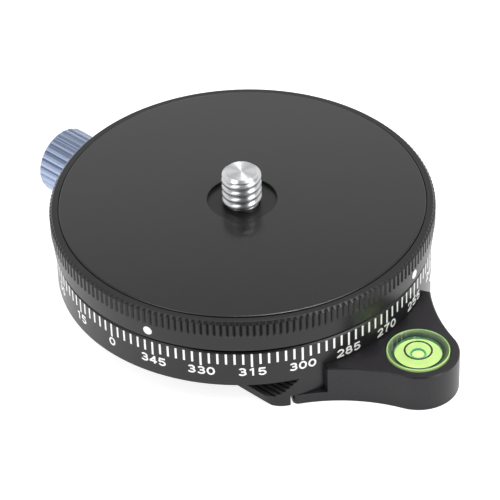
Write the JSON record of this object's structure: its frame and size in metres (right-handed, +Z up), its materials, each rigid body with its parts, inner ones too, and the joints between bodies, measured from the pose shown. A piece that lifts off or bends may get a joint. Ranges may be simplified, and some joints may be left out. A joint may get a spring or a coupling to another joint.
{
  "type": "panoramic tripod head",
  "caption": "Low round panning head with a knurled platform and camera stud over a graduated base with a dovetail foot, a lock knob and a bullseye level arm.",
  "frame": {"origin": "centre of the bottom face of the dovetail, at the mouth of the tripod socket", "axes": "+Z up along the turning axis, +X along the dovetail towards the level arm, so the lock knob lies on -X"},
  "size_m": [0.0845, 0.0612, 0.0233],
  "materials": {
    "base_black": "satin black anodised, turned",
    "platform_black": "satin black anodised, turned and knurled",
    "bracket_black": "black anodised over fine blasting",
    "pad_rubber": "smooth satin black",
    "stud_steel": "turned stainless steel",
    "bare_steel": "turned steel",
    "screw_steel": "zinc plated steel",
    "screw_black": "blackened steel",
    "bare_aluminium": "turned aluminium",
    "knob_blue": "steel blue anodised",
    "bronze": "turned bronze",
    "washer_plastic": "natural slippery plastic",
    "clear_case": "clear moulded acrylic",
    "lime_liquid": "lime spirit",
    "lime_backing": "lime moulded plastic"
  },
  "bodies": {
    "base": {"base_body": "base_black", "socket_bush": "bare_steel", "retaining_ring": "bare_aluminium", "retaining_screws": "screw_steel", "lower_washer": "washer_plastic", "upper_washer": "washer_plastic", "level_bracket": "bracket_black", "bracket_screws": "screw_black", "vial_backing": "lime_backing", "vial_liquid": "lime_liquid", "vial_case": "clear_case"},
    "platform": {"turntable": "platform_black", "top_pad": "pad_rubber", "camera_stud": "stud_steel", "spindle": "bare_aluminium", "pivot_bush": "bronze", "platform_screws": "screw_steel"},
    "brake": {"brake_shoe": "bronze"},
    "knob": {"lock_knob": "knob_blue", "lock_screw": "screw_steel"}
  },
  "joints": [
    {"name": "pan", "type": "hinge", "parent": "base", "child": "platform", "pos_m": [0, 0, 0.01205], "axis": [0, 0, 1], "continuous": true},
    {"name": "brake_travel", "type": "slide", "parent": "base", "child": "brake", "axis": [-1, 0, 0], "range_m": [0, 0.00105]},
    {"name": "knob_turn", "type": "hinge", "parent": "brake", "child": "knob", "pos_m": [-0.031, 0, 0.0057], "axis": [-1, 0, 0], "range_deg": [0, 540]}
  ],
  "couplings": [
    {"joint": "knob_turn", "follows": "brake_travel", "rad_per_m": 8976}
  ]
}
